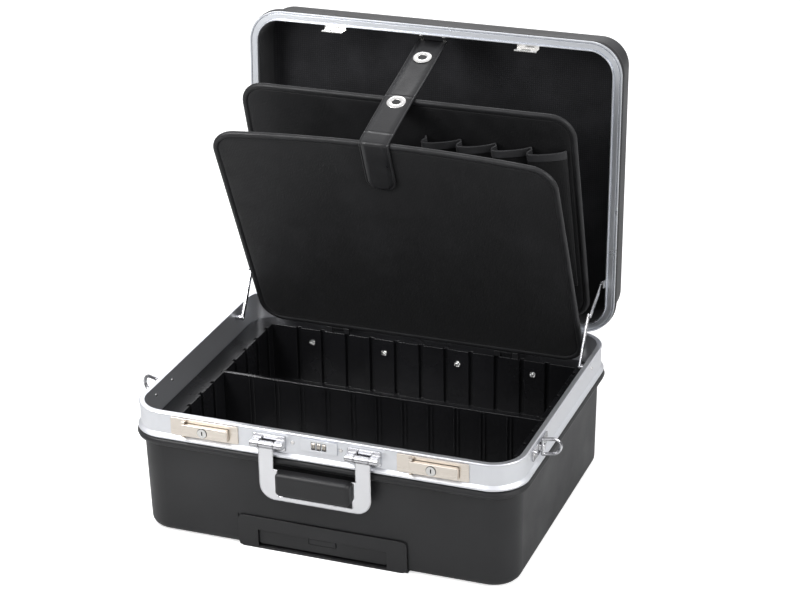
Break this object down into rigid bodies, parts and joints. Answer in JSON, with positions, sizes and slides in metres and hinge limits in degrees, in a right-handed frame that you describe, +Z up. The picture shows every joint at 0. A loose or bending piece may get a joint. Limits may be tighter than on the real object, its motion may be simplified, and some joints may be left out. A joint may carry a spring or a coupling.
{
  "type": "hard tool case",
  "caption": "Moulded tool case with an aluminium frame, a hinged lid on stays, two tool boards held by a strap, locks, carry handle and telescopic trolley.",
  "frame": {"origin": "middle of the base's underside, on the surface the case stands on", "axes": "+Z up, front with handle and locks towards -Y, +X to the right"},
  "size_m": [0.5594, 0.5026, 0.5605],
  "materials": {
    "shell_plastic": "moulded black ABS, fine grain",
    "frame_aluminium": "satin anodised extrusion",
    "liner_plastic": "black grained moulding",
    "rivet_metal": "bright rivets and pins",
    "champagne_metal": "pale champagne plating",
    "chrome": "bright plating",
    "black_plastic": "black moulding",
    "dial_brass": "plated number dials",
    "tube_aluminium": "anodised tube",
    "wheel_rubber": "black tyre",
    "board_cover": "black covered board",
    "binding_leather": "glossy black bonded leather"
  },
  "bodies": {
    "base": {"base_shell": "shell_plastic", "base_frame": "frame_aluminium", "base_liner": "liner_plastic", "liner_rivets": "rivet_metal", "long_divider": "liner_plastic", "lock_plates": "champagne_metal", "lock_cases": "black_plastic", "combination_plate": "champagne_metal", "combination_case": "black_plastic", "dial_shaft": "chrome", "frame_rivets": "rivet_metal", "handle_brackets": "chrome", "handle_pins": "chrome", "ring_plates": "chrome", "hinge_base_leaves": "chrome", "hinge_pins": "chrome", "trolley_tray": "black_plastic", "trolley_outer_tubes": "tube_aluminium", "wheel_housings": "black_plastic", "wheel_axles": "rivet_metal", "stay_base_pivots": "chrome", "board_hinge": "black_plastic"},
    "lid": {"lid_shell": "shell_plastic", "lid_frame": "frame_aluminium", "lid_lining": "liner_plastic", "lid_catches": "chrome", "hinge_lid_leaves": "chrome", "stay_lid_pivots": "chrome", "lid_board_hinge": "black_plastic", "strap_upper": "binding_leather"},
    "rear_board": {"rear_board": "board_cover", "rear_board_binding": "binding_leather", "tool_pockets": "board_cover"},
    "front_board": {"front_board": "board_cover", "front_board_binding": "binding_leather", "strap_lower": "binding_leather"},
    "handle": {"handle_bow": "chrome", "handle_grip": "black_plastic"},
    "trolley_middle": {"trolley_middle_tubes": "tube_aluminium"},
    "trolley_grip": {"trolley_grip": "black_plastic"},
    "trolley_button": {"trolley_button": "black_plastic"},
    "stay_lower_left": {"stay_lower_link_left": "chrome"},
    "stay_upper_left": {"stay_upper_link_left": "chrome"},
    "lock_lever_left": {"lock_lever_left": "champagne_metal"},
    "key_cylinder_left": {"key_cylinder_left": "chrome"},
    "lock_bolt_left": {"lock_bolt_left": "chrome"},
    "carry_ring_left": {"carry_ring_left": "chrome"},
    "trolley_wheel_left": {"trolley_wheel_left": "wheel_rubber"},
    "stay_lower_right": {"stay_lower_link_right": "chrome"},
    "stay_upper_right": {"stay_upper_link_right": "chrome"},
    "lock_lever_right": {"lock_lever_right": "champagne_metal"},
    "key_cylinder_right": {"key_cylinder_right": "chrome"},
    "lock_bolt_right": {"lock_bolt_right": "chrome"},
    "carry_ring_right": {"carry_ring_right": "chrome"},
    "trolley_wheel_right": {"trolley_wheel_right": "wheel_rubber"},
    "number_dial_1": {"number_dial_1": "dial_brass"},
    "number_dial_2": {"number_dial_2": "dial_brass"},
    "number_dial_3": {"number_dial_3": "dial_brass"}
  },
  "joints": [
    {"name": "lid_hinge", "type": "hinge", "parent": "base", "child": "lid", "pos_m": [0, 0.197, 0.1672], "axis": [1, 0, 0], "range_deg": [0, 93]},
    {"name": "rear_board_hinge", "type": "hinge", "parent": "lid", "child": "rear_board", "pos_m": [0, 0.2033, 0.184], "axis": [1, 0, 0], "range_deg": [-18.5, 0], "deforming": ["strap_upper"]},
    {"name": "front_board_hinge", "type": "hinge", "parent": "base", "child": "front_board", "pos_m": [0, 0.1687, 0.1385], "axis": [1, 0, 0], "range_deg": [0, 66.2], "deforming": ["strap_lower"]},
    {"name": "stay_lower_pivot_left", "type": "hinge", "parent": "base", "child": "stay_lower_left", "pos_m": [-0.238, 0.115, 0.16], "axis": [1, 0, 0], "range_deg": [0, 7.4]},
    {"name": "stay_upper_pivot_left", "type": "hinge", "parent": "lid", "child": "stay_upper_left", "pos_m": [-0.23925, 0.2016, 0.2409], "axis": [1, 0, 0], "range_deg": [-229.7, 0]},
    {"name": "lock_lever_hinge_left", "type": "hinge", "parent": "base", "child": "lock_lever_left", "pos_m": [-0.175, -0.19935, 0.155], "axis": [0, 0, -1], "range_deg": [0, 60]},
    {"name": "key_turn_left", "type": "hinge", "parent": "lock_lever_left", "child": "key_cylinder_left", "pos_m": [-0.149, -0.19935, 0.155], "axis": [0, -1, 0], "range_deg": [0, 90]},
    {"name": "lock_bolt_slide_left", "type": "slide", "parent": "base", "child": "lock_bolt_left", "axis": [0, 1, 0], "range_m": [0, 0.0041]},
    {"name": "carry_ring_swing_left", "type": "hinge", "parent": "base", "child": "carry_ring_left", "pos_m": [-0.2568, -0.106, 0.158], "axis": [0, 0, -1], "range_deg": [-100, 60]},
    {"name": "trolley_wheel_spin_left", "type": "hinge", "parent": "base", "child": "trolley_wheel_left", "pos_m": [-0.188, 0.17275, 0.021], "axis": [1, 0, 0], "continuous": true},
    {"name": "stay_lower_pivot_right", "type": "hinge", "parent": "base", "child": "stay_lower_right", "pos_m": [0.238, 0.115, 0.16], "axis": [1, 0, 0], "range_deg": [0, 7.4]},
    {"name": "stay_upper_pivot_right", "type": "hinge", "parent": "lid", "child": "stay_upper_right", "pos_m": [0.23925, 0.2016, 0.2409], "axis": [1, 0, 0], "range_deg": [-229.7, 0]},
    {"name": "lock_lever_hinge_right", "type": "hinge", "parent": "base", "child": "lock_lever_right", "pos_m": [0.123, -0.19935, 0.155], "axis": [0, 0, -1], "range_deg": [0, 60]},
    {"name": "key_turn_right", "type": "hinge", "parent": "lock_lever_right", "child": "key_cylinder_right", "pos_m": [0.149, -0.19935, 0.155], "axis": [0, -1, 0], "range_deg": [0, 90]},
    {"name": "lock_bolt_slide_right", "type": "slide", "parent": "base", "child": "lock_bolt_right", "axis": [0, 1, 0], "range_m": [0, 0.0041]},
    {"name": "carry_ring_swing_right", "type": "hinge", "parent": "base", "child": "carry_ring_right", "pos_m": [0.2568, -0.106, 0.158], "axis": [0, 0, 1], "range_deg": [-100, 60]},
    {"name": "trolley_wheel_spin_right", "type": "hinge", "parent": "base", "child": "trolley_wheel_right", "pos_m": [0.188, 0.17275, 0.021], "axis": [1, 0, 0], "continuous": true},
    {"name": "handle_swing", "type": "hinge", "parent": "base", "child": "handle", "pos_m": [0, -0.204, 0.156], "axis": [-1, 0, 0], "range_deg": [0, 95]},
    {"name": "number_dial_turn_1", "type": "hinge", "parent": "base", "child": "number_dial_1", "pos_m": [-0.004, -0.19115, 0.159], "axis": [1, 0, 0], "continuous": true},
    {"name": "number_dial_turn_2", "type": "hinge", "parent": "base", "child": "number_dial_2", "pos_m": [0.003, -0.19115, 0.159], "axis": [1, 0, 0], "continuous": true},
    {"name": "number_dial_turn_3", "type": "hinge", "parent": "base", "child": "number_dial_3", "pos_m": [0.01, -0.19115, 0.159], "axis": [1, 0, 0], "continuous": true},
    {"name": "trolley_middle_slide", "type": "slide", "parent": "base", "child": "trolley_middle", "axis": [0, -1, 0], "range_m": [0, 0.24]},
    {"name": "trolley_grip_slide", "type": "slide", "parent": "trolley_middle", "child": "trolley_grip", "axis": [0, -1, 0], "range_m": [0, 0.24]},
    {"name": "trolley_button_press", "type": "slide", "parent": "trolley_grip", "child": "trolley_button", "axis": [0, 1, 0], "range_m": [0, 0.004], "stiffness_N_per_m": 400}
  ],
  "couplings": [
    {"joint": "rear_board_hinge", "follows": "lid_hinge", "ratio": -0.19785},
    {"joint": "front_board_hinge", "follows": "lid_hinge", "ratio": 0.71032},
    {"joint": "stay_lower_pivot_left", "follows": "lid_hinge", "ratio": 0.074624},
    {"joint": "stay_upper_pivot_left", "follows": "lid_hinge", "ratio": -2.464},
    {"joint": "lock_bolt_slide_left", "follows": "key_turn_left", "m_per_rad": 0.0025465},
    {"joint": "stay_lower_pivot_right", "follows": "lid_hinge", "ratio": 0.074624},
    {"joint": "stay_upper_pivot_right", "follows": "lid_hinge", "ratio": -2.464},
    {"joint": "lock_bolt_slide_right", "follows": "key_turn_right", "m_per_rad": 0.0025465},
    {"joint": "trolley_grip_slide", "follows": "trolley_middle_slide", "ratio": 1}
  ]
}
